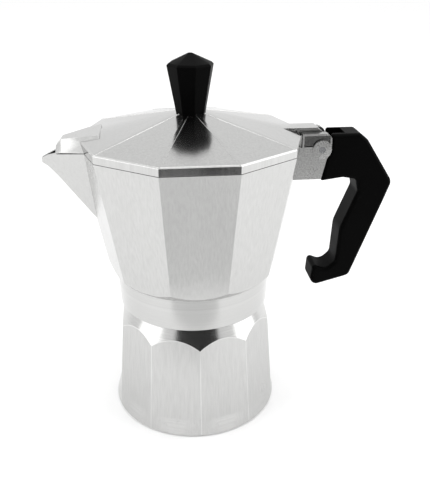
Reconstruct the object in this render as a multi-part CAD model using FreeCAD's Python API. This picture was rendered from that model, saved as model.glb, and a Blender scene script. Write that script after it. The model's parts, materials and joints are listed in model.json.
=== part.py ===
import FreeCAD, Part
import math
import os

Vector = FreeCAD.Vector

# Moka pot, in millimetres. +Z is up, the origin is the centre of the boiler's
# underside, the handle points along +X and the spout along -X.

# Body: both castings have this many faces
sides = 10

# Boiler
foot_radius = 38.9
foot_round = 0.9
foot_blend = 7.0
boiler_taper = 0.0787
boiler_turn_deg = 18.0
boiler_wall = 3.2
boiler_floor = 3.6
shoulder_angle_deg = 28.0
shoulder_top = 53.2
neck_radius = 30.6
neck_length = 11.8
neck_wall = 3.6
neck_chamfer = 0.6
shoulder_wall = 3.2
cavity_slope = 2.0
cavity_corner = 4.0

# Safety valve, on one back face of the boiler
valve_angle_deg = 108.0
valve_height = 30.0
valve_boss_radius = 8.0
valve_boss_rise = 2.38
valve_seal_rim = 1.6
valve_nose_chamfer = 0.5
valve_stem_point = 0.5
valve_thread_radius = 4.0
valve_thread_overhang = 2.6
valve_seal_thickness = 0.8
valve_hex_across_flats = 13.0
valve_hex_thickness = 3.0
valve_nose_radius = 4.6
valve_nose_length = 2.6
valve_bore_clearance = 0.06
valve_stem_radius = 1.3
valve_stem_head_radius = 2.8
valve_stem_head_thickness = 1.4
valve_spring_length = 6.0
valve_spring_radius = 2.3
valve_spring_wire = 0.35
valve_spring_turns = 5
valve_retainer_radius = 3.1
valve_retainer_thickness = 0.9
valve_stem_tail = 0.8

# Funnel
funnel_sheet = 0.8
basket_clearance = 1.4
basket_depth = 21.5
basket_flange_clearance = 0.6
tube_radius = 4.5
tube_wall = 0.6
tube_floor_gap = 3.5
sieve_lift = 1.6
sieve_thickness = 0.6
sieve_clearance = 0.1

# Gasket and filter plate
gasket_thickness = 2.7
gasket_width = 6.4
gasket_clearance = 0.3
plate_thickness = 0.6
plate_clearance = 0.05
hole_spacing = 4.2
hole_radius = 0.7
hole_margin = 2.0

# Collector
thread_clearance = 0.08
skirt_gap = 0.3
skirt_wall = 3.4
skirt_flare = 0.7
skirt_edge = 0.5
collector_floor = 2.5
collector_wall = 2.4
waist_angle_deg = 44.0
waist_reach = 30.0
waist_wall = 1.4
rim_height = 127.2
rim_vertex_radius = 48.8
collector_taper = 0.188
riser_base_radius = 8.5
riser_top_radius = 5.6
riser_height = 41.0
riser_bore_radius = 3.0
riser_cap = 4.0
riser_outlet_radius = 1.9
riser_dish_radius = 19.0
riser_dish_depth = 1.0

# Spout: slices as (reach past the rim's corner, half width, drop of the top, drop of the keel)
spout_slices = (
    (-8.8, 17.4, 0.0, 36.2),
    (-4.8, 14.5, 0.0, 31.0),
    (8.2, 5.0, 2.5, 13.1),
    (11.8, 2.6, 3.8, 8.8),
    (14.2, 1.7, 5.0, 7.0),
)
spout_keel_half_width = 0.8
spout_wall = 1.7
spout_keel_slope = 1.6
spout_least_depth = 0.6

# Hinge lug, its two ears, and the tongue that carries the handle
pin_reach = 6.3
pin_drop = 3.1
pin_radius = 1.5
pin_clearance = 0.06
lug_half_width = 8.0
lug_rise = 3.8
lug_depth = 16.2
lug_root = 2.4
lug_anchor = 8.0
lug_seat = 2.0
lug_corner_radius = 3.0
lug_front = 4.1
lug_foot_front = 0.3
lug_knee_front = 2.3
lug_knee_drop = 4.2
lug_chin_drop = 0.9
ear_gap_half_width = 4.3
ear_pocket_depth = 0.7
ear_pocket_rise = 1.3
ear_pocket_margin = 0.8
boss_radius = 4.1
boss_height = 0.4
boss_root = 2.0
knuckle_clearance = 0.4
gap_wall = 1.2
gap_reach = 2.8
tongue_half_width = 3.5
tongue_drop = 10.1
tongue_thickness = 6.3
tongue_reach = 13.9
tongue_root = 0.1

# Lid
lid_gap = 0.2
lid_band_height = 3.5
lid_band_chamfer = 0.5
lid_rise = 12.7
lid_peak_radius = 8.0
lid_sheet = 1.8
lid_lip_depth = 2.4
lid_lip_thickness = 1.5
lid_lip_clearance = 1.0
lip_spout_gap = 30.0
hood_root = 18.4
rib_width = 1.5
rib_height = 0.35
rib_sink = 0.6
rib_fade = 0.4
tail_half_width = 4.0
tail_rise = 5.6
tail_thickness = 2.6
tail_root = 12.8
tail_bevel = 2.2
knuckle_radius = 4.3
ear_notch_clearance = 0.4
ear_notch_root = 4.9

# Hood over the spout: slices as (reach past the rim's corner, half width below, rise below,
# half width above, rise above)
hood_slices = (
    (-10.8, hood_root, 0.2, 9.0, 6.2),
    (-4.8, 14.3, 0.2, 7.4, 5.3),
    (5.2, 7.0, -1.5, 3.2, 3.4),
    (7.8, 5.0, -2.0, 2.4, 0.4),
)
hood_sheet = 1.4

# Knob
knob_sides = 8
knob_turn_deg = 8.5
knob_base_radius = 6.4
knob_top_radius = 9.9
knob_shoulder_rise = 19.3
knob_edge = 0.8
knob_rise = 23.9
knob_peak_radius = 0.8
insert_radius = 3.2
insert_length = 10.0
insert_recess = 0.4
knob_screw_radius = 2.0
knob_screw_head_radius = 3.7
knob_screw_head_height = 2.0
washer_radius = 5.2
washer_thickness = 0.6

# Handle
handle_half_width = 6.8
handle_edge = 1.7
handle_slot_clearance = 0.2
handle_notch_reach = 10.5
handle_screw_reach = 9.1
handle_screw_radius = 1.75
handle_screw_clearance = 0.2
handle_screw_head_radius = 3.2
handle_screw_head_height = 1.9
handle_screw_head_drop = 11.7
handle_screw_length = 7.0
# Corners from the hinge pin as (x, z, radius)
handle_outline = (
    (1.1, -14.7, 0.5),
    (10.7, -13.4, 4.0),
    (16.7, -14.4, 2.2),
    (17.9, -20.1, 3.0),
    (11.2, -37.8, 10.0),
    (10.5, -54.1, 3.5),
    (6.2, -58.1, 4.0),
    (-0.1, -55.4, 1.6),
    (-0.9, -66.8, 3.0),
    (17.5, -61.8, 3.5),
    (30.2, -25.1, 8.0),
    (33.2, -15.9, 4.0),
    (20.5, 3.3, 5.0),
    (16.9, 6.2, 2.5),
    (4.4, 6.2, 1.0),
    (4.4, -1.1, 1.0),
    (2.6, -4.3, 1.0),
)

# Working values that several pieces share
neck_top = shoulder_top + neck_length
neck_bore_radius = neck_radius - neck_wall
cavity_shoulder_top = shoulder_top - shoulder_wall
basket_radius = neck_bore_radius - basket_clearance
gasket_inner_radius = neck_radius - gasket_width
skirt_bottom = shoulder_top + skirt_gap
skirt_bottom_radius = neck_radius + skirt_wall
skirt_top_radius = skirt_bottom_radius + skirt_flare
pin_x = rim_vertex_radius + pin_reach
pin_z = rim_height - pin_drop
lug_top = rim_height + lug_rise
lug_start = rim_vertex_radius - lug_root
tongue_bottom = pin_z - tongue_drop
tongue_top = tongue_bottom + tongue_thickness
tongue_end = pin_x + tongue_reach
lid_peak_height = rim_height + lid_rise
handle_screw_x = pin_x + handle_screw_reach
handle_screw_head_seat = pin_z - handle_screw_head_drop
handle_screw_tip = handle_screw_head_seat + handle_screw_length
vertex_factor = 1.0 / math.cos(math.pi / sides)
seal_bottom = neck_top + funnel_sheet
seal_top = seal_bottom + gasket_thickness
floor_top = seal_top + collector_floor
skirt_bore_radius = neck_radius + thread_clearance
lid_bottom = rim_height + lid_gap
lid_band_top = lid_bottom + lid_band_height
basket_floor = neck_top - basket_depth
overshoot = 5.0


def ring_point(radius, angle_deg, z):
    angle = math.radians(angle_deg)
    return Vector(radius * math.cos(angle), radius * math.sin(angle), z)


def polygon_wire(count, radius, z, turn_deg=0.0):
    step = 360.0 / count
    points = [ring_point(radius, turn_deg + i * step, z) for i in range(count)]
    return Part.makePolygon(points + points[:1])


def arc_wire(count, radius, z, turn_deg=0.0):
    """A circle in as many arcs as the polygon has sides, starting at the same corner."""
    step = 360.0 / count
    arcs = []
    for i in range(count):
        start = turn_deg + i * step
        ends = [ring_point(radius, start + share * step, z) for share in (0.0, 0.5, 1.0)]
        arcs.append(Part.Arc(*ends).toShape())
    return Part.Wire(arcs)


def loft(wires):
    return Part.makeLoft(wires, True, True)


def faceted(levels, count=sides, turn_deg=0.0):
    """A many-sided solid through (corner radius, height) levels."""
    return loft([polygon_wire(count, radius, z, turn_deg) for radius, z in levels])


def lathe(profile):
    """A turned solid from (radius, height) points."""
    points = [Vector(radius, 0, z) for radius, z in profile]
    face = Part.Face(Part.makePolygon(points + points[:1]))
    return face.revolve(Vector(0, 0, 0), Vector(0, 0, 1), 360)


def disc(radius, bottom, top):
    return Part.makeCylinder(radius, top - bottom, Vector(0, 0, bottom))


def box(x0, x1, y0, y1, z0, z1):
    return Part.makeBox(x1 - x0, y1 - y0, z1 - z0, Vector(x0, y0, z0))


def across(points, half_width):
    """A flat outline of (x, z) points made solid to both sides of the middle plane."""
    corners = [Vector(x, -half_width, z) for x, z in points]
    face = Part.Face(Part.makePolygon(corners + corners[:1]))
    return face.extrude(Vector(0, 2 * half_width, 0))


def cross_cylinder(radius, x, z, y0, y1):
    return Part.makeCylinder(radius, y1 - y0, Vector(x, y0, z), Vector(0, 1, 0))


def rounded_outline(corners, y):
    """A closed wire in the plane at y, with an arc at each (x, z, radius) corner."""
    arcs = []
    for i, (x, z, radius) in enumerate(corners):
        here = Vector(x, y, z)
        before = Vector(corners[i - 1][0], y, corners[i - 1][1]) - here
        following = corners[(i + 1) % len(corners)]
        after = Vector(following[0], y, following[1]) - here
        before.normalize()
        after.normalize()
        half = before.getAngle(after) / 2
        reach = radius / math.tan(half)
        bisector = before + after
        bisector.normalize()
        middle = here + bisector * (radius / math.sin(half) - radius)
        arcs.append((here + before * reach, middle, here + after * reach))
    edges = []
    for i, (start, middle, end) in enumerate(arcs):
        edges.append(Part.Arc(start, middle, end).toShape())
        edges.append(Part.LineSegment(end, arcs[(i + 1) % len(arcs)][0]).toShape())
    return Part.Wire(edges)


def edges_near_faces(shape, half_width):
    """The edges that lie flat in either side face."""
    found = []
    for edge in shape.Edges:
        size = edge.BoundBox
        if size.YLength < 1e-6 and abs(abs(size.YMin) - half_width) < 1e-6:
            found.append(edge)
    return found


def punch_rings(plate, radius, bottom, top):
    """Cuts rings of small holes round one at the centre."""
    holes = [disc(hole_radius, bottom - 1, top + 1)]
    ring_count = int((radius - hole_margin) / hole_spacing)
    for ring in range(1, ring_count + 1):
        count = 6 * ring
        for i in range(count):
            hole = disc(hole_radius, bottom - 1, top + 1)
            hole.translate(ring_point(ring * hole_spacing, 360.0 * i / count, 0))
            holes.append(hole)
    return plate.cut(Part.makeCompound(holes))


def at_valve(shape):
    """Moves a valve piece, made along +X, to its face of the boiler."""
    moved = shape.copy()
    moved.rotate(Vector(0, 0, 0), Vector(0, 0, 1), valve_angle_deg)
    moved.translate(Vector(0, 0, valve_height))
    return moved


def along_x(radius, x0, x1):
    return Part.makeCylinder(radius, x1 - x0, Vector(x0, 0, 0), Vector(1, 0, 0))


# Boiler

def boiler_corner_radius(z):
    return foot_radius - boiler_taper * (z - foot_round)


def shoulder_radius(z):
    return neck_radius + (shoulder_top - z) * math.tan(math.radians(shoulder_angle_deg))


def valve_boss_face():
    return boiler_corner_radius(valve_height) / vertex_factor + valve_boss_rise


def cavity_radius(z):
    return boiler_corner_radius(z) / vertex_factor - boiler_wall


def make_boiler():
    top = shoulder_top + 1
    blend_top = foot_round + foot_blend
    rounding = loft([
        arc_wire(sides, foot_radius, foot_round, boiler_turn_deg),
        polygon_wire(sides, boiler_corner_radius(blend_top), blend_top, boiler_turn_deg),
    ])
    prism = faceted([
        (boiler_corner_radius(blend_top), blend_top),
        (boiler_corner_radius(top), top),
    ], sides, boiler_turn_deg)
    body = rounding.fuse(prism)
    foot = lathe([(0, 0), (foot_radius - foot_round, 0), (foot_radius, foot_round), (0, foot_round)])
    shoulder_foot = shoulder_top - 30
    shoulder = lathe([
        (0, 0),
        (shoulder_radius(shoulder_foot), 0),
        (shoulder_radius(shoulder_foot), shoulder_foot),
        (neck_radius, shoulder_top),
        (0, shoulder_top),
    ])
    neck = lathe([
        (0, shoulder_top - 1),
        (neck_radius, shoulder_top - 1),
        (neck_radius, neck_top - neck_chamfer),
        (neck_radius - neck_chamfer, neck_top),
        (0, neck_top),
    ])
    boss = at_valve(along_x(valve_boss_radius, valve_boss_face() - boiler_wall, valve_boss_face()))
    solid = body.common(shoulder).fuse([foot, neck, boss])
    high = cavity_shoulder_top - (cavity_radius(cavity_shoulder_top) - neck_bore_radius) - cavity_slope
    cavity = lathe([
        (0, boiler_floor),
        (cavity_radius(boiler_floor) - cavity_corner, boiler_floor),
        (cavity_radius(boiler_floor), boiler_floor + cavity_corner),
        (cavity_radius(high), high),
        (neck_bore_radius, cavity_shoulder_top),
        (neck_bore_radius, neck_top + overshoot),
        (0, neck_top + overshoot),
    ])
    valve_hole = at_valve(along_x(valve_thread_radius, 0, valve_boss_face() + overshoot))
    return solid.cut(cavity).cut(valve_hole).removeSplitter()


# Safety valve

def valve_inner_end():
    return cavity_radius(valve_height) - valve_thread_overhang


def valve_outer_face():
    return valve_boss_face() + valve_seal_thickness


def valve_nose_end():
    return valve_outer_face() + valve_hex_thickness + valve_nose_length


def valve_bore_radius():
    return valve_stem_radius + valve_bore_clearance


def make_valve_seal():
    ring = along_x(valve_nose_radius + valve_seal_rim, valve_boss_face(), valve_outer_face())
    return at_valve(ring.cut(along_x(valve_thread_radius, 0, valve_nose_end())))


def make_valve_body():
    corner = valve_hex_across_flats / math.sqrt(3)
    hexagon = faceted([(corner, 0), (corner, valve_hex_thickness)], 6)
    hexagon.rotate(Vector(0, 0, 0), Vector(0, 1, 0), 90)
    hexagon.translate(Vector(valve_outer_face(), 0, 0))
    shank = along_x(valve_thread_radius, valve_inner_end(), valve_outer_face() + 1)
    nose = along_x(valve_nose_radius, valve_outer_face() + 1, valve_nose_end())
    rim = [edge for edge in nose.Edges if edge.BoundBox.XMin > valve_nose_end() - 0.1]
    nose = nose.makeChamfer(valve_nose_chamfer, rim)
    bore = along_x(valve_bore_radius(), 0, valve_nose_end() + overshoot)
    return at_valve(hexagon.fuse([shank, nose]).cut(bore).removeSplitter())


def make_valve_stem():
    tail_end = valve_inner_end() - valve_spring_length - valve_retainer_thickness - valve_stem_tail
    pin = along_x(valve_stem_radius, tail_end, valve_nose_end() + valve_stem_point)
    head = along_x(valve_stem_head_radius, valve_nose_end(), valve_nose_end() + valve_stem_head_thickness)
    return at_valve(pin.fuse(head).removeSplitter())


def make_valve_retainer():
    outer_end = valve_inner_end() - valve_spring_length
    ring = along_x(valve_retainer_radius, outer_end - valve_retainer_thickness, outer_end)
    return at_valve(ring.cut(along_x(valve_stem_radius, 0, valve_nose_end())))


def make_valve_spring():
    length = valve_spring_length - 2 * valve_spring_wire
    helix = Part.makeHelix(length / valve_spring_turns, length, valve_spring_radius)
    start = Vector(valve_spring_radius, 0, 0)
    section = Part.Wire([Part.makeCircle(valve_spring_wire, start, Vector(0, 1, 0))])
    spring = Part.Wire(helix.Edges).makePipeShell([section], True, True)
    spring.rotate(Vector(0, 0, 0), Vector(0, 1, 0), 90)
    spring.translate(Vector(valve_inner_end() - valve_spring_length + valve_spring_wire, 0, 0))
    return at_valve(spring)


# Funnel

def make_funnel_basket():
    flange_radius = neck_radius - basket_flange_clearance
    outer = basket_radius
    inner = basket_radius - funnel_sheet
    shell = lathe([
        (tube_radius, basket_floor),
        (outer, basket_floor),
        (outer, neck_top),
        (flange_radius, neck_top),
        (flange_radius, neck_top + funnel_sheet),
        (inner, neck_top + funnel_sheet),
        (inner, basket_floor + funnel_sheet),
        (tube_radius, basket_floor + funnel_sheet),
    ])
    return shell


def make_funnel_tube():
    bottom = boiler_floor + tube_floor_gap
    top = basket_floor + funnel_sheet
    return disc(tube_radius, bottom, top).cut(disc(tube_radius - tube_wall, bottom - 1, top + 1))


def make_funnel_sieve():
    bottom = basket_floor + funnel_sheet
    top = bottom + sieve_lift
    outer = basket_radius - funnel_sheet - sieve_clearance
    plate = lathe([
        (0, top - sieve_thickness),
        (outer - sieve_thickness, top - sieve_thickness),
        (outer - sieve_thickness, bottom),
        (outer, bottom),
        (outer, top),
        (0, top),
    ])
    return punch_rings(plate, outer, bottom, top)


# Gasket and filter plate

def make_gasket():
    outer = skirt_bore_radius - gasket_clearance
    return disc(outer, seal_bottom, seal_top).cut(disc(gasket_inner_radius, seal_bottom - 1, seal_top + 1))


def make_filter_plate():
    bottom = seal_top - plate_thickness
    outer = gasket_inner_radius - plate_clearance
    plate = disc(outer, bottom, seal_top)
    return punch_rings(plate, outer, bottom, seal_top)


# Collector

def collector_corner_radius(z):
    return rim_vertex_radius - collector_taper * (rim_height - z)


def spout_section(station, inset, rise):
    """One V-shaped slice of the spout, drawn in by the wall when it is the channel."""
    reach, half_width, top_drop, keel_drop = station
    x = -(rim_vertex_radius + reach)
    top = rim_height - top_drop
    keel = rim_height - keel_drop
    wide = max(half_width - inset, 0.5)
    narrow = max(spout_keel_half_width - inset / 2, 0.3)
    floor = min(keel + inset * spout_keel_slope, top - spout_least_depth)
    points = [Vector(x, -wide, top + rise), Vector(x, -narrow, floor),
              Vector(x, narrow, floor), Vector(x, wide, top + rise)]
    return Part.makePolygon(points + points[:1])


def make_spout():
    return loft([spout_section(station, 0.0, 0.0) for station in spout_slices])


def make_spout_channel():
    stations = list(spout_slices)
    first = stations[0]
    inside = (first[0] - 6, first[1] + 4, first[2], first[3] - 4)
    last = stations[-1]
    beyond = (last[0] + 2, last[1], last[2], last[3] - 1)
    return loft([spout_section(station, spout_wall, 2.0) for station in [inside] + stations + [beyond]])


def lug_outline():
    front = pin_x + lug_front
    bottom = rim_height - lug_depth
    seat = rim_height - lug_seat
    return (
        (lug_start - lug_anchor, bottom, 0.5),
        (pin_x + lug_foot_front, bottom, 0.8),
        (pin_x + lug_knee_front, pin_z - lug_knee_drop, 1.0),
        (front, pin_z - lug_chin_drop, 1.0),
        (front, lug_top, lug_corner_radius),
        (lug_start, lug_top, 0.5),
        (lug_start, seat, 0.3),
        (lug_start - lug_anchor, seat, 0.5),
    )


def make_tongue():
    """The bar that the handle slides onto, with the tapped hole for its screw."""
    bar = box(pin_x - tongue_root, tongue_end, -tongue_half_width, tongue_half_width,
              tongue_bottom, tongue_top)
    tap = disc(handle_screw_radius, tongue_bottom - 1, handle_screw_tip + 0.3)
    return bar.cut(tap.translated(Vector(handle_screw_x, 0, 0)))


def make_lug():
    face = Part.Face(rounded_outline(lug_outline(), -lug_half_width))
    lug = face.extrude(Vector(0, 2 * lug_half_width, 0))
    front = pin_x + lug_front
    for side in (-1, 1):
        outside = side * lug_half_width
        depth = sorted((outside, outside - side * ear_pocket_depth))
        pocket = box(lug_start + ear_pocket_margin, front - ear_pocket_margin, depth[0], depth[1],
                     pin_z + ear_pocket_rise, lug_top - ear_pocket_margin)
        lug = lug.cut(pocket)
        reach = sorted((outside - side * boss_root, outside + side * boss_height))
        lug = lug.fuse(cross_cylinder(boss_radius, pin_x, pin_z, reach[0], reach[1]))
    gap_floor = pin_z - knuckle_radius - knuckle_clearance
    past = front + gap_reach
    gap = box(rim_vertex_radius + gap_wall, past, -ear_gap_half_width, ear_gap_half_width,
              gap_floor, lug_top + 1)
    over_rim = box(lug_start - lug_anchor - 1, past, -ear_gap_half_width, ear_gap_half_width,
                   rim_height, lug_top + 1)
    return lug.cut(gap).cut(over_rim).fuse(make_tongue().cut(gap))


def waist_cone(wall, bottom, top):
    """The cone that narrows the collector to its skirt, drawn in by the wall for the cavity."""
    slope = math.tan(math.radians(waist_angle_deg))
    wide = skirt_top_radius + waist_reach - wall
    return lathe([
        (0, bottom),
        (skirt_top_radius - wall + (bottom - seal_top) * slope, bottom),
        (wide, seal_top + waist_reach / slope),
        (wide, top),
        (0, top),
    ])


def make_collector():
    faces = faceted([(collector_corner_radius(seal_top), seal_top), (rim_vertex_radius, rim_height)])
    body = faces.common(waist_cone(0.0, seal_top, rim_height))
    skirt = lathe([
        (0, skirt_bottom),
        (skirt_bottom_radius - skirt_edge, skirt_bottom),
        (skirt_bottom_radius, skirt_bottom + skirt_edge),
        (skirt_top_radius, seal_top),
        (0, seal_top),
    ])
    wall = collector_wall * vertex_factor
    cavity = faceted([
        (collector_corner_radius(floor_top) - wall, floor_top),
        (collector_corner_radius(rim_height + 1) - wall, rim_height + 1),
    ]).common(waist_cone(waist_wall, floor_top, rim_height + 1))
    channel = make_spout_channel()
    thread_bore = disc(skirt_bore_radius, skirt_bottom - 1, seal_top)
    dish = lathe([
        (0, seal_top),
        (riser_dish_radius, seal_top),
        (riser_bore_radius, seal_top + riser_dish_depth),
        (0, seal_top + riser_dish_depth),
    ])
    shell = body.fuse([skirt, make_spout(), make_lug()])
    shell = shell.cut(cavity).cut(channel).cut(thread_bore)
    pin_hole = cross_cylinder(pin_radius, pin_x, pin_z, -lug_half_width - 2, lug_half_width + 2)
    whole = shell.fuse(make_riser()).cut(dish).cut(make_riser_bore()).cut(pin_hole)
    return whole.removeSplitter()


def make_riser():
    top = floor_top + riser_height
    return lathe([
        (0, floor_top - 1),
        (riser_base_radius, floor_top - 1),
        (riser_base_radius, floor_top + 1),
        (riser_top_radius, top - 1.5),
        (riser_top_radius - 1.5, top),
        (0, top),
    ])


def make_riser_bore():
    top = floor_top + riser_height - riser_cap
    bore = disc(riser_bore_radius, seal_top - 1, top)
    outlet_z = top - riser_outlet_radius
    outlet = cross_cylinder(riser_outlet_radius, 0, outlet_z, -riser_base_radius - 1, riser_base_radius + 1)
    return bore.fuse(outlet)


# Lid

def lid_top_height(radius):
    """Height of the pyramid's corner line at a corner radius."""
    rim = rim_vertex_radius - lid_band_chamfer
    return lid_band_top + (rim - radius) * (lid_peak_height - lid_band_top) / (rim - lid_peak_radius)


def make_lid_cap():
    return faceted([
        (rim_vertex_radius, lid_bottom),
        (rim_vertex_radius, lid_band_top - lid_band_chamfer),
        (rim_vertex_radius - lid_band_chamfer, lid_band_top),
        (lid_peak_radius, lid_peak_height),
    ])


def make_rib(angle_deg):
    """A thin raised bead along one corner line of the pyramid."""
    outer = rim_vertex_radius - lid_band_chamfer
    half = rib_width / 2
    low = lid_band_top
    high = lid_peak_height
    inner = lid_peak_radius - 1
    points = [
        Vector(outer, -half, low - rib_sink),
        Vector(outer, -half, low + rib_height * rib_fade),
        Vector(inner, -half, high + rib_height),
        Vector(inner, -half, high - rib_sink),
    ]
    rib = Part.Face(Part.makePolygon(points + points[:1])).extrude(Vector(0, rib_width, 0))
    rib.rotate(Vector(0, 0, 0), Vector(0, 0, 1), angle_deg)
    return rib


def hood_section(station, inset):
    reach, low_half, low_rise, high_half, high_rise = station
    x = -(rim_vertex_radius + reach)
    high = rim_height + high_rise
    below = rim_height + low_rise - (1.0 if inset else 0.0)
    points = [Vector(x, -(low_half - inset), below), Vector(x, -(high_half - inset * 0.6), high - inset),
              Vector(x, high_half - inset * 0.6, high - inset), Vector(x, low_half - inset, below)]
    return Part.makePolygon(points + points[:1])


def make_hood():
    return loft([hood_section(station, 0.0) for station in hood_slices])


def make_hood_hollow():
    stations = list(hood_slices)
    first = stations[0]
    inside = (first[0] - 3, first[1], first[2], first[3], first[4])
    last = stations[-1]
    beyond = (last[0] + 1.2, last[1], last[2], last[3], last[4])
    return loft([hood_section(station, hood_sheet) for station in [inside] + stations + [beyond]])


def make_tail():
    knuckle = cross_cylinder(knuckle_radius, pin_x, pin_z, -tail_half_width, tail_half_width)
    tail_start = rim_vertex_radius - tail_root
    tail_top = rim_height + tail_rise
    tail_under = tail_top - tail_thickness
    arm = across((
        (tail_start, tail_under),
        (tail_start, tail_top),
        (pin_x - 1.5, tail_top),
        (pin_x + 1.1, tail_top - tail_bevel),
        (pin_x + knuckle_radius * 0.9, pin_z + knuckle_radius * 0.43),
        (pin_x, pin_z),
        (pin_x - knuckle_radius, pin_z),
        (pin_x - knuckle_radius, tail_under),
    ), tail_half_width)
    return arm.fuse(knuckle)


def make_lid():
    lip_outer = collector_corner_radius(rim_height) - (collector_wall + lid_lip_clearance) * vertex_factor
    lip_inner = lip_outer - lid_lip_thickness * vertex_factor
    lip_bottom = lid_bottom - lid_lip_depth
    lip = faceted([(lip_outer, lip_bottom), (lip_outer, lid_bottom + 1)])
    lip = lip.cut(box(-rim_vertex_radius, -lip_spout_gap, -hood_root, hood_root, lip_bottom - 1, lid_bottom))
    hollow = faceted([
        (lip_inner, lip_bottom - 1),
        (lip_inner, lid_top_height(lip_inner) - lid_sheet),
        (lid_peak_radius, lid_peak_height - lid_sheet),
    ])
    ribs = [make_rib(i * 360.0 / sides) for i in range(sides) if i not in (0, sides // 2)]
    shell = make_lid_cap().fuse([lip, make_hood()] + ribs).cut(hollow).cut(make_hood_hollow())
    notch_reach = lug_half_width + ear_notch_clearance
    notch = box(rim_vertex_radius - ear_notch_root, pin_x + overshoot, -notch_reach, notch_reach,
                lip_bottom - 1, lug_top + overshoot)
    shell = shell.cut(notch).fuse(make_tail())
    pin_hole = cross_cylinder(pin_radius + pin_clearance, pin_x, pin_z, -lug_half_width, lug_half_width)
    screw_hole = disc(knob_screw_radius, washer_bottom(), lid_peak_height + 1)
    return shell.cut(pin_hole).cut(screw_hole).removeSplitter()


def make_hinge_pin():
    length = lug_half_width + boss_height
    return cross_cylinder(pin_radius, pin_x, pin_z, -length, length)


# Knob

def knob_hole_top():
    return lid_peak_height + insert_recess + insert_length


def make_knob():
    shoulder = lid_peak_height + knob_shoulder_rise
    body = faceted([
        (knob_base_radius, lid_peak_height),
        (knob_top_radius, shoulder),
        (knob_top_radius - knob_edge, shoulder + knob_edge),
        (knob_peak_radius, lid_peak_height + knob_rise),
    ], knob_sides, knob_turn_deg)
    insert_hole = disc(insert_radius, lid_peak_height + insert_recess, knob_hole_top())
    screw_hole = disc(knob_screw_radius, lid_peak_height - 1, knob_hole_top())
    return body.cut(insert_hole).cut(screw_hole)


def make_knob_insert():
    bottom = lid_peak_height + insert_recess
    bore = disc(knob_screw_radius, bottom - 1, knob_hole_top() + 1)
    return disc(insert_radius, bottom, knob_hole_top()).cut(bore)


def washer_bottom():
    return lid_peak_height - lid_sheet - washer_thickness


def make_knob_washer():
    top = washer_bottom() + washer_thickness
    bore = disc(knob_screw_radius, washer_bottom() - 1, top + 1)
    return disc(washer_radius, washer_bottom(), top).cut(bore)


def make_knob_screw():
    shank = disc(knob_screw_radius, washer_bottom() - 0.5, knob_hole_top() - 1)
    head = disc(knob_screw_head_radius, washer_bottom() - knob_screw_head_height, washer_bottom())
    slot = box(-knob_screw_head_radius, knob_screw_head_radius, -0.5, 0.5,
               washer_bottom() - knob_screw_head_height - 1, washer_bottom() - knob_screw_head_height + 0.9)
    return shank.fuse(head).cut(slot).removeSplitter()


# Handle

def make_handle():
    corners = [(pin_x + x, pin_z + z, radius) for x, z, radius in handle_outline]
    face = Part.Face(rounded_outline(corners, -handle_half_width))
    grip = face.extrude(Vector(0, 2 * handle_half_width, 0))
    grip = grip.makeFillet(handle_edge, edges_near_faces(grip, handle_half_width))
    gap = handle_slot_clearance
    inside = rim_vertex_radius - overshoot
    below = tongue_bottom - 20
    slot = box(inside, tongue_end + gap, -tongue_half_width - gap, tongue_half_width + gap,
               tongue_bottom, tongue_top + gap)
    notch = box(inside, pin_x + handle_notch_reach, -ear_gap_half_width, ear_gap_half_width,
                tongue_top + gap, lug_top + overshoot)
    screw_hole = disc(handle_screw_radius + handle_screw_clearance, below, tongue_bottom + 1)
    head_hole = disc(handle_screw_head_radius + handle_screw_clearance, below, handle_screw_head_seat)
    drilled = screw_hole.fuse(head_hole).translated(Vector(handle_screw_x, 0, 0))
    return grip.cut(slot).cut(notch).cut(drilled)


def make_handle_screw():
    seat = handle_screw_head_seat
    shank = disc(handle_screw_radius, seat - 0.5, handle_screw_tip)
    head = lathe([
        (0, seat - handle_screw_head_height),
        (handle_screw_head_radius - 0.8, seat - handle_screw_head_height),
        (handle_screw_head_radius, seat - handle_screw_head_height + 0.8),
        (handle_screw_head_radius, seat),
        (0, seat),
    ])
    return shank.fuse(head).removeSplitter().translated(Vector(handle_screw_x, 0, 0))


pieces = {
    "boiler": make_boiler,
    "valve_body": make_valve_body,
    "valve_seal": make_valve_seal,
    "valve_stem": make_valve_stem,
    "valve_spring": make_valve_spring,
    "valve_retainer": make_valve_retainer,
    "funnel_basket": make_funnel_basket,
    "funnel_tube": make_funnel_tube,
    "funnel_sieve": make_funnel_sieve,
    "gasket": make_gasket,
    "filter_plate": make_filter_plate,
    "collector": make_collector,
    "lid": make_lid,
    "hinge_pin": make_hinge_pin,
    "knob": make_knob,
    "knob_insert": make_knob_insert,
    "knob_screw": make_knob_screw,
    "knob_washer": make_knob_washer,
    "handle": make_handle,
    "handle_screw": make_handle_screw,
}

os.makedirs("parts", exist_ok=True)
for name, make in pieces.items():
    shape = make()
    shape.exportStep("parts/" + name + ".step")
    size = shape.BoundBox
    spans = ((size.XMin, size.XMax), (size.YMin, size.YMax), (size.ZMin, size.ZMax))
    reach = "  ".join(f"{low:6.1f} {high:6.1f}" for low, high in spans)
    state = f"solids {len(shape.Solids)} valid {shape.isValid()} volume {shape.Volume:9.1f}"
    print(f"{name:15s} {state}  {reach}")
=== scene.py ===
# %% [markdown]
# # A stovetop moka pot
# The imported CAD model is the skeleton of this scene. Every piece already sits where it
# belongs, so no piece is placed by eye. What is built here is the finish, with eased edges,
# brushed and turned metal, and moulded plastic, and then the table, lights and camera.

# %% Load the frame and keep its box
import json
import math

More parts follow.
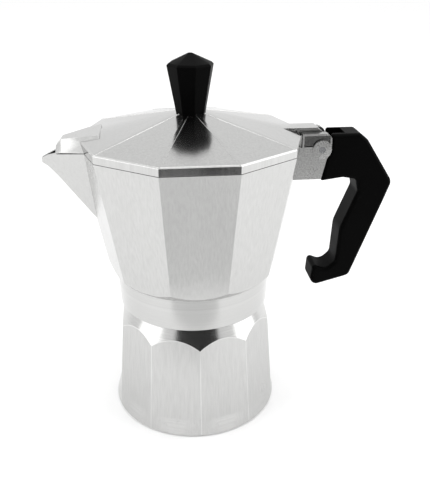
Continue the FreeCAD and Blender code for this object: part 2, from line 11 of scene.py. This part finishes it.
import bmesh
import bpy
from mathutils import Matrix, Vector


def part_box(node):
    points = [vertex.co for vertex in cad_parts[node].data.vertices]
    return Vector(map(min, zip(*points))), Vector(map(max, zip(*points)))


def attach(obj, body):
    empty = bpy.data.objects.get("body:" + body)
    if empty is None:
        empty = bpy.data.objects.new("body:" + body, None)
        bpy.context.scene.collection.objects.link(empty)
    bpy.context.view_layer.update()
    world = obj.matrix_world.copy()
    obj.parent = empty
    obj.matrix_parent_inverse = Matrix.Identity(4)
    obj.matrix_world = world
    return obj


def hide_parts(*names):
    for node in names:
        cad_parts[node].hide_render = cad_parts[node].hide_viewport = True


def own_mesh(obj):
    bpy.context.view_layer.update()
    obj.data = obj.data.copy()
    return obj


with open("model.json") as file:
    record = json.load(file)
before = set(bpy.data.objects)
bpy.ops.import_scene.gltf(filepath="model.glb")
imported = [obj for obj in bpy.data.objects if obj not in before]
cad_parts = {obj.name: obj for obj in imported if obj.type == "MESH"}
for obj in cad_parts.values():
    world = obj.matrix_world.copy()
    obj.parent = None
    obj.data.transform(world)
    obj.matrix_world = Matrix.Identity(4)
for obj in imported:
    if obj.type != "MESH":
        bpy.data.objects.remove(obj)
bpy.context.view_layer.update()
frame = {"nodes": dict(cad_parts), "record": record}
MM = 0.001

# %% [markdown]
# ## Two helpers that every finish uses
# Colours are chosen as sRGB hex values, as in a paint chart, but a shader works in linear
# light, so one function turns one into the other. A node is added with its settings and its
# links in one call, which keeps each recipe below as short as a list of ingredients.

# %% Colour and node helpers
def linear(hex_colour):
    channels = [int(hex_colour[i:i + 2], 16) / 255 for i in (1, 3, 5)]
    return [c / 12.92 if c <= 0.04045 else ((c + 0.055) / 1.055) ** 2.4 for c in channels] + [1.0]


def add(tree, kind, settings=None, **inputs):
    """Adds a node. Settings are its properties; inputs are values, or sockets to link from."""
    node = tree.nodes.new(kind)
    for name, value in (settings or {}).items():
        setattr(node, name, value)
    for name, value in inputs.items():
        key = int(name[1:]) if name[0] == "_" and name[1:].isdigit() else name.replace("_", " ")
        if isinstance(value, bpy.types.NodeSocket):
            tree.links.new(value, node.inputs[key])
        else:
            node.inputs[key].default_value = value
    return node


def start(name):
    material = bpy.data.materials.new(name)
    material.use_nodes = True
    tree = material.node_tree
    tree.nodes.clear()
    where = add(tree, "ShaderNodeTexCoord").outputs["Object"]
    return material, tree, where


def close(tree, shader):
    add(tree, "ShaderNodeOutputMaterial", Surface=shader.outputs[0])


print("mid grey in linear light:", round(linear("#808080")[0], 3))

# %% [markdown]
# ## Satin cast aluminium
# The two chambers and the lid are cast aluminium, linished up and down on a belt after
# casting. That leaves fine vertical lines that blur a reflection more sideways than upwards.
# Noise stretched along Z draws the lines: real ones are about 0.1 mm apart, which is too
# fine to show, so they are drawn 0.6 mm apart. A second, slow noise is the handling haze.

# %% Satin cast aluminium
LINE_SPACING = 0.6 * MM
LINE_STRETCH = 40.0
LINE_SHARE = 0.4
HAZE_SIZE = 22 * MM
TINT_START, TINT_END = 0.3, 0.7
ROUGH_START, ROUGH_END = 0.4, 1.0


def lined_metal(name, colours, roughness, line_height, direction):
    """Metal with fine lines: 'up' runs them along Z, 'round' turns them about Z."""
    material, tree, where = start(name)
    if direction == "up":
        squeeze = (1.0, 1.0, 1.0 / LINE_STRETCH)
        lines_at = add(tree, "ShaderNodeVectorMath", {"operation": "MULTIPLY"}, _0=where, _1=squeeze)
        lines_at = lines_at.outputs[0]
    else:
        parts = add(tree, "ShaderNodeSeparateXYZ", Vector=where)
        flat = add(tree, "ShaderNodeCombineXYZ", X=parts.outputs["X"], Y=parts.outputs["Y"])
        radius = add(tree, "ShaderNodeVectorMath", {"operation": "LENGTH"}, _0=flat.outputs[0])
        lines_at = add(tree, "ShaderNodeCombineXYZ", X=radius.outputs["Value"], Z=parts.outputs["Z"])
        lines_at = lines_at.outputs[0]
    lines = add(tree, "ShaderNodeTexNoise", Vector=lines_at, Scale=1.0 / LINE_SPACING, Detail=3.0)
    haze = add(tree, "ShaderNodeTexNoise", Vector=where, Scale=1.0 / HAZE_SIZE, Detail=2.0)
    both = add(tree, "ShaderNodeMath", {"operation": "MULTIPLY_ADD"},
               _0=lines.outputs["Fac"], _1=LINE_SHARE, _2=haze.outputs["Fac"])
    rough = add(tree, "ShaderNodeMapRange", Value=both.outputs[0], From_Min=ROUGH_START,
                From_Max=ROUGH_END, To_Min=roughness[0], To_Max=roughness[1])
    tint = add(tree, "ShaderNodeValToRGB", Fac=lines.outputs["Fac"])
    tint.color_ramp.elements[0].position = TINT_START
    tint.color_ramp.elements[0].color = linear(colours[0])
    tint.color_ramp.elements[1].position = TINT_END
    tint.color_ramp.elements[1].color = linear(colours[1])
    bump = add(tree, "ShaderNodeBump", Height=lines.outputs["Fac"], Distance=line_height, Strength=1.0)
    shader = add(tree, "ShaderNodeBsdfPrincipled", Base_Color=tint.outputs[0], Metallic=1.0,
                 Roughness=rough.outputs[0], Normal=bump.outputs[0])
    close(tree, shader)
    return material


satin_aluminium = lined_metal("satin cast aluminium", ("#c0c0bf", "#cacac9"), (0.19, 0.28),
                              0.0018 * MM, "up")
print("lines drawn", LINE_SPACING / MM, "mm apart")

# %% [markdown]
# ## Turned aluminium
# The shoulder, the neck and the round skirt are cut on a lathe, so their lines run round the
# pot. The same recipe is used with the noise read by distance from the axis and height,
# which makes rings. A turned face is brighter and sharper than a linished one. On the flat
# sides of the hinge lug the same noise has no line to follow and gives the mottle of a casting
# that no belt has reached. The pocket beside the hinge is glossy, its colour darkened as painted
# shade for the recess, drawn sheet is duller, and the eased edges get a brighter colour painted
# on as their edge highlight.

# %% Turned and polished aluminium
turned_aluminium = lined_metal("turned aluminium", ("#bfbfbe", "#cbcbca"), (0.14, 0.24),
                               0.0022 * MM, "round")
polished_aluminium = lined_metal("polished cast aluminium", ("#bcbcbb", "#c6c6c5"), (0.12, 0.18),
                                 0.0012 * MM, "up")
drawn_aluminium = lined_metal("drawn aluminium sheet", ("#cfcfcd", "#dadad8"), (0.22, 0.34),
                              0.003 * MM, "round")
# Eased edges get a brighter colour, painted on as their edge highlight line.
painted_edge_highlight = lined_metal("edge painted bright as highlight", ("#dadad9", "#e2e2e1"), (0.14, 0.20), 0.0005 * MM, "up")
# The pocket beside the hinge: a glossy finish whose darker colour is painted shade for the recess.
pocket_shade_aluminium = lined_metal("glossy aluminium darkened as pocket shade", ("#767675", "#9c9c9b"), (0.12, 0.22),
                            0.006 * MM, "round")
cast_aluminium = lined_metal("as-cast aluminium", ("#8e8e8d", "#b9b9b8"), (0.22, 0.38),
                             0.008 * MM, "round")
print("turned, polished, drawn, painted edge-highlight, pocket-shaded and as-cast aluminium made")

# %% [markdown]
# ## Small metal parts
# The valve is brass, turned from bar. Pins and screws are bright steel, and the spring is
# drawn steel wire. They are too small for their lines to be followed, so they share the recipe
# and differ in colour and gloss.

# %% Brass and steel
turned_brass = lined_metal("turned brass", ("#bd9c56", "#cbab66"), (0.18, 0.30),
                           0.003 * MM, "round")
bright_steel = lined_metal("bright steel", ("#9b9c9e", "#aeafb1"), (0.16, 0.28), 0.002 * MM, "up")
print("brass and steel made")

# %% [markdown]
# ## Moulded plastic, silicone and fibre
# The knob and handle are moulded heat-proof plastic with a fine spark-eroded grain, which
# turns a highlight into a soft patch. The gasket is matt silicone rubber, and the washer
# under the valve is pressed red fibre. None is metal, so each is a plain coloured base
# under a clear surface reflection, with its grain as a bump. The plastic's reflection is
# turned well down, or a bright room would make its deep black look grey.

# %% Grained, non-metal finishes
WEAR_TINT_START, WEAR_TINT_END = 0.35, 0.75
WEAR_ROUGH_START, WEAR_ROUGH_END = 0.3, 0.7


def grained(name, colours, roughness, grain_size, grain_height, ior, specular=0.5):
    material, tree, where = start(name)
    grain = add(tree, "ShaderNodeTexNoise", Vector=where, Scale=1.0 / grain_size, Detail=4.0)
    wear = add(tree, "ShaderNodeTexNoise", Vector=where, Scale=1.0 / HAZE_SIZE, Detail=3.0)
    tint = add(tree, "ShaderNodeValToRGB", Fac=wear.outputs["Fac"])
    tint.color_ramp.elements[0].position = WEAR_TINT_START
    tint.color_ramp.elements[0].color = linear(colours[0])
    tint.color_ramp.elements[1].position = WEAR_TINT_END
    tint.color_ramp.elements[1].color = linear(colours[1])
    rough = add(tree, "ShaderNodeMapRange", Value=wear.outputs["Fac"], From_Min=WEAR_ROUGH_START,
                From_Max=WEAR_ROUGH_END, To_Min=roughness[0], To_Max=roughness[1])
    bump = add(tree, "ShaderNodeBump", Height=grain.outputs["Fac"], Distance=grain_height, Strength=1.0)
    shader = add(tree, "ShaderNodeBsdfPrincipled", Base_Color=tint.outputs[0], IOR=ior,
                 Roughness=rough.outputs[0], Normal=bump.outputs[0], Specular_IOR_Level=specular)
    close(tree, shader)
    return material


moulded_plastic = grained("moulded phenolic plastic", ("#020202", "#040404"), (0.44, 0.56),
                          0.6 * MM, 0.012 * MM, 1.55, specular=0.03)
matt_silicone = grained("moulded silicone rubber", ("#d6d5cf", "#e0dfd9"), (0.55, 0.68),
                        0.8 * MM, 0.02 * MM, 1.41)
red_fibre = grained("pressed red fibre", ("#7a2a1c", "#8d3626"), (0.70, 0.85),
                    0.5 * MM, 0.03 * MM, 1.50)
print("plastic, silicone and fibre made")

# %% [markdown]
# ## Castings with eased edges
# No cast edge is razor sharp: it is rounded a few tenths of a millimetre, and that thin
# round catches the light as a bright line. The CAD pieces have true edges, so each large
# casting is copied, its triangles are merged back into whole faces, and its sharp edges are
# bevelled. Weighted normals then keep the big faces flat while the bevels stay round.

# %% Copying a piece with eased edges
SHARP = math.radians(20)
FLAT = math.radians(0.05)
WELD = 0.002 * MM
FACES_UP = 0.9
LARGE_FACES_LEAD = 100

body_of = {node: body for body, nodes in frame["record"]["behaviour"]["bodies"].items() for node in nodes}


def eased_copy(node, name, ease, steps, also=None):
    """Copies a CAD piece with its sharp edges rounded, and those that also(edge) names."""
    source = frame["nodes"][node]
    mesh = bpy.data.meshes.new(name)
    work = bmesh.new()
    work.from_mesh(source.data)
    eased = work.faces.layers.int.new("eased")
    bmesh.ops.remove_doubles(work, verts=work.verts, dist=WELD)
    bmesh.ops.dissolve_limit(work, angle_limit=FLAT, verts=work.verts, edges=work.edges)
    sharp = [e for e in work.edges if len(e.link_faces) == 2
             and (e.calc_face_angle(0) > SHARP or (also and also(e)))]
    rounds = bmesh.ops.bevel(work, geom=sharp, offset=ease, segments=steps, profile=0.5, affect="EDGES",
                             clamp_overlap=True, material=-1)
    for face in rounds["faces"]:
        face[eased] = 1
    for face in work.faces:
        face.smooth = True
    work.to_mesh(mesh)
    work.free()
    mesh.materials.clear()
    piece = bpy.data.objects.new(name, mesh)
    bpy.context.scene.collection.objects.link(piece)
    weighted = piece.modifiers.new("flat faces", "WEIGHTED_NORMAL")
    weighted.weight = LARGE_FACES_LEAD
    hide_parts(node)
    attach(piece, body_of[node])
    print(f"{name}: {len(sharp)} edges eased by {ease / MM:.2f} mm, {len(mesh.polygons)} faces")
    return piece


def finish_by(piece, materials, choose):
    """Gives each face the finish whose index choose(centre, normal) returns, and the eased edges the
    bright colour of the painted edge highlight.
    """
    for material in materials:
        piece.data.materials.append(material)
    piece.data.materials.append(painted_edge_highlight)
    eased = piece.data.attributes["eased"].data
    for face in piece.data.polygons:
        # Eased edges that don't face up get the painted edge highlight colour.
        rounded = eased[face.index].value and face.normal.z < FACES_UP
        face.material_index = len(materials) if rounded else choose(face.center, face.normal)


# %% Heights that separate one finish from another
SKIRT_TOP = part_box("gasket")[1][2]
SKIRT_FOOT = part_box("collector")[0][2]
WAIST_TOP = SKIRT_TOP + 14 * MM
BAND_INNER = 42 * MM
CAVITY_LIMIT = 35.2 * MM
PIN_LOW, PIN_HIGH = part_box("hinge_pin")
EAR_FACE = PIN_HIGH[1] - 0.5 * MM
EAR_SUNK = PIN_HIGH[1] - 1.2 * MM
EAR_START = PIN_LOW[0] - 8.0 * MM
EAR_FLOOR = PIN_LOW[2] + 2.6 * MM
print("skirt from", round(SKIRT_FOOT / MM, 1), "to", round(SKIRT_TOP / MM, 1), "mm")

# %% [markdown]
# ## The three castings
# The faces of both chambers are linished upwards. The shoulder, neck and skirt are turned.
# A face knows which it is from its height and the way it points, so the choice is a rule.

# %% Boiler, collector and lid
def boiler_finish(centre, normal):
    return 1 if normal.z > 0.3 or centre.z > SKIRT_FOOT else 0


def collector_finish(centre, normal):
    # Index 2 is the pocket beside the hinge, darkened as painted shade.
    if EAR_SUNK < abs(centre.y) < EAR_FACE and centre.x > EAR_START and centre.z > EAR_FLOOR:
        return 2
    if centre.x > EAR_START and abs(centre.y) < PIN_HIGH[1]:
        return 3
    turned = centre.z < SKIRT_TOP or (normal.z < -0.5 and centre.z < WAIST_TOP)
    return 1 if turned else 0


def lid_finish(centre, normal):
    if normal.z > 0.8:
        return 1
    return 1 if abs(normal.z) < 0.3 and math.hypot(centre.x, centre.y) > BAND_INNER else 0


CORNER_STEP_DEG = 36.0
CORNER_TURN_DEG = 18.0
CORNER_SLACK_DEG = 0.4


def on_boiler_corner(edge):
    """True for an edge that runs up one of the ten outer corner lines."""
    for vertex in edge.verts:
        place = vertex.co
        turn = (math.degrees(math.atan2(place.y, place.x)) - CORNER_TURN_DEG) % CORNER_STEP_DEG
        off_corner = min(turn, CORNER_STEP_DEG - turn) > CORNER_SLACK_DEG
        if off_corner or math.hypot(place.x, place.y) < CAVITY_LIMIT:
            return False
    return abs(edge.verts[0].co.z - edge.verts[1].co.z) > MM


boiler = eased_copy("boiler", "boiler_casting", 0.35 * MM, 3, on_boiler_corner)
finish_by(boiler, (satin_aluminium, turned_aluminium), boiler_finish)
collector = eased_copy("collector", "collector_casting", 0.30 * MM, 3)
finish_by(collector, (satin_aluminium, turned_aluminium, pocket_shade_aluminium, cast_aluminium),
          collector_finish)
lid = eased_copy("lid", "lid_casting", 0.25 * MM, 3)
finish_by(lid, (satin_aluminium, polished_aluminium), lid_finish)

# %% [markdown]
# ## Knob and handle
# Both are moulded in one piece, so their edges have the radius of the mould, larger than on
# the castings.

# %% Knob and handle
knob = eased_copy("knob", "knob_moulding", 0.5 * MM, 4)
handle = eased_copy("handle", "handle_moulding", 0.4 * MM, 3)
for moulding in (knob, handle):
    moulding.data.materials.append(moulded_plastic)

# %% [markdown]
# ## Pieces that stay as the CAD made them
# The small pieces have the right shape already, so each only gets its finish.

# %% Finishes for the CAD pieces
slot_finish = {
    "drawn_aluminium": drawn_aluminium,
    "brass": turned_brass,
    "steel": bright_steel,
    "silicone": matt_silicone,
    "fibre": red_fibre,
}
for part in frame["record"]["subparts"]:
    if part["material_slot"] in slot_finish:
        for slot in frame["nodes"][part["node"]].material_slots:
            slot.material = slot_finish[part["material_slot"]]
        print(part["node"], "->", slot_finish[part["material_slot"]].name)

# %% [markdown]
# ## The valve spring
# When the valve opens, its pin slides out and the ring on its inner end presses the coil
# spring shorter against the valve body. A rigid copy would be cut by that ring. Here the
# spring is copied, given bright steel and attached to its body.

# %% Valve spring
coil = bpy.data.objects.new("valve_spring_coil", frame["nodes"]["valve_spring"].data.copy())
bpy.context.scene.collection.objects.link(coil)
coil.data.materials.clear()
coil.data.materials.append(bright_steel)
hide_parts("valve_spring")
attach(coil, body_of["valve_spring"])
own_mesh(coil)

# %% [markdown]
# ## Table, light and camera
# Bright metal shows its surroundings more than itself, so the light is built as a room: a
# pale table, a soft even sky, and large panels left, right and above. The front is left a
# little darker, which gives the faces that look forward their deeper grey.

# %% Table
TABLE_HALF = 8.0
FIBRE_SIZE = 2.5 * MM
table_mesh = bpy.data.meshes.new("table")
corners = [(-TABLE_HALF, -TABLE_HALF, 0), (TABLE_HALF, -TABLE_HALF, 0),
           (TABLE_HALF, TABLE_HALF, 0), (-TABLE_HALF, TABLE_HALF, 0)]
table_mesh.from_pydata(corners, [], [(0, 1, 2, 3)])
table = bpy.data.objects.new("table", table_mesh)
bpy.context.scene.collection.objects.link(table)
paper, tree, where = start("white paper sweep")
fibres = add(tree, "ShaderNodeTexNoise", Vector=where, Scale=1.0 / FIBRE_SIZE, Detail=2.0)
bump = add(tree, "ShaderNodeBump", Height=fibres.outputs["Fac"], Distance=0.02 * MM, Strength=0.3)
close(tree, add(tree, "ShaderNodeBsdfPrincipled", Base_Color=linear("#fbfbfb"), Roughness=0.9,
                Normal=bump.outputs[0]))
table_mesh.materials.append(paper)
print("table", 2 * TABLE_HALF, "m across")

# %% Light
POT_MIDDLE = Vector((0, 0, 0.08))
world = bpy.data.worlds.new("soft room")
bpy.context.scene.world = world
world.use_nodes = True
world.node_tree.nodes["Background"].inputs["Color"].default_value = linear("#ffffff")
world.node_tree.nodes["Background"].inputs["Strength"].default_value = 1.02


def panel(name, place, width, height, watts):
    """A soft square light that faces the middle of the pot."""
    light = bpy.data.lights.new(name, "AREA")
    light.shape = "RECTANGLE"
    light.size = width
    light.size_y = height
    light.energy = watts
    holder = bpy.data.objects.new(name, light)
    holder.location = place
    holder.rotation_euler = (POT_MIDDLE - Vector(place)).to_track_quat("-Z", "Y").to_euler()
    bpy.context.scene.collection.objects.link(holder)


panel("left panel", (-0.9, -0.25, 0.5), 0.7, 0.9, 2.2)
panel("right panel", (0.9, -0.15, 0.5), 0.7, 0.9, 2.8)
panel("top panel", (0.0, 0.1, 1.2), 1.0, 1.0, 3.0)
print("three panels and a soft room")

# %% [markdown]
# ## Cards for the metal to mirror
# In an even white room polished metal looks like plaster, because it has nothing darker to
# mirror. A studio sets grey and black cards around the object for that. These are seen only
# in reflections: they cast no shadow, and no camera sees them. A pale grey one lies low in
# front and deepens the face that looks forward. A black one further out darkens the rim
# band, and another stands high in front for the sloping shoulder.

# %% One grey card and two black ones
WEAVE_SIZE = 2 * MM


def card(name, middle, width, height, lean_deg, shade):
    mesh = bpy.data.meshes.new(name)
    half_w = width / 2
    half_h = height / 2
    corners = [(-half_w, -half_h, 0), (half_w, -half_h, 0), (half_w, half_h, 0), (-half_w, half_h, 0)]
    mesh.from_pydata(corners, [], [(0, 1, 2, 3)])
    cloth, tree, where = start(name + " cloth")
    weave = add(tree, "ShaderNodeTexNoise", Vector=where, Scale=1.0 / WEAVE_SIZE)
    rough = add(tree, "ShaderNodeMapRange", Value=weave.outputs["Fac"], To_Min=0.85, To_Max=1.0)
    close(tree, add(tree, "ShaderNodeBsdfPrincipled", Base_Color=linear(shade),
                    Roughness=rough.outputs[0], Specular_IOR_Level=0.1))
    mesh.materials.append(cloth)
    piece = bpy.data.objects.new(name, mesh)
    piece.location = middle
    piece.rotation_euler = (math.radians(lean_deg), 0, 0)
    bpy.context.scene.collection.objects.link(piece)
    piece.visible_camera = False
    piece.visible_diffuse = False
    piece.visible_shadow = False


card("low_card", (-0.005, -0.185, 0.002), 0.13, 0.17, 0, "#d6d6d6")
card("rim_card", (0.10, -0.46, 0.002), 0.44, 0.22, 0, "#141414")
card("shoulder_card", (0.0, -0.40, 0.22), 0.50, 0.24, 72, "#1c1c1c")
print("three cards, seen only in reflections")

# %% [markdown]
# ## Camera
# The camera stands close to the pot and above it, with a lens of ordinary length, so upright
# lines draw together slightly towards the foot. The lens goes with the frame's long side.

# %% Camera
EYE = Vector((-17.21, -266.09, 202.46)) * MM
TILT_DOWN_DEG = 25.01
TURN_RIGHT_DEG = 5.86
LENS_MM = 46.99
SENSOR_MM = 36.0
lens = bpy.data.cameras.new("studio camera")
lens.lens = LENS_MM
lens.sensor_width = SENSOR_MM
camera = bpy.data.objects.new("studio camera", lens)
camera.location = EYE
camera.rotation_euler = (math.radians(90 - TILT_DOWN_DEG), 0, -math.radians(TURN_RIGHT_DEG))
bpy.context.scene.collection.objects.link(camera)
bpy.context.scene.camera = camera
bpy.context.scene.view_settings.view_transform = "Standard"
print("camera", round(EYE.length, 3), "m from the pot's foot")
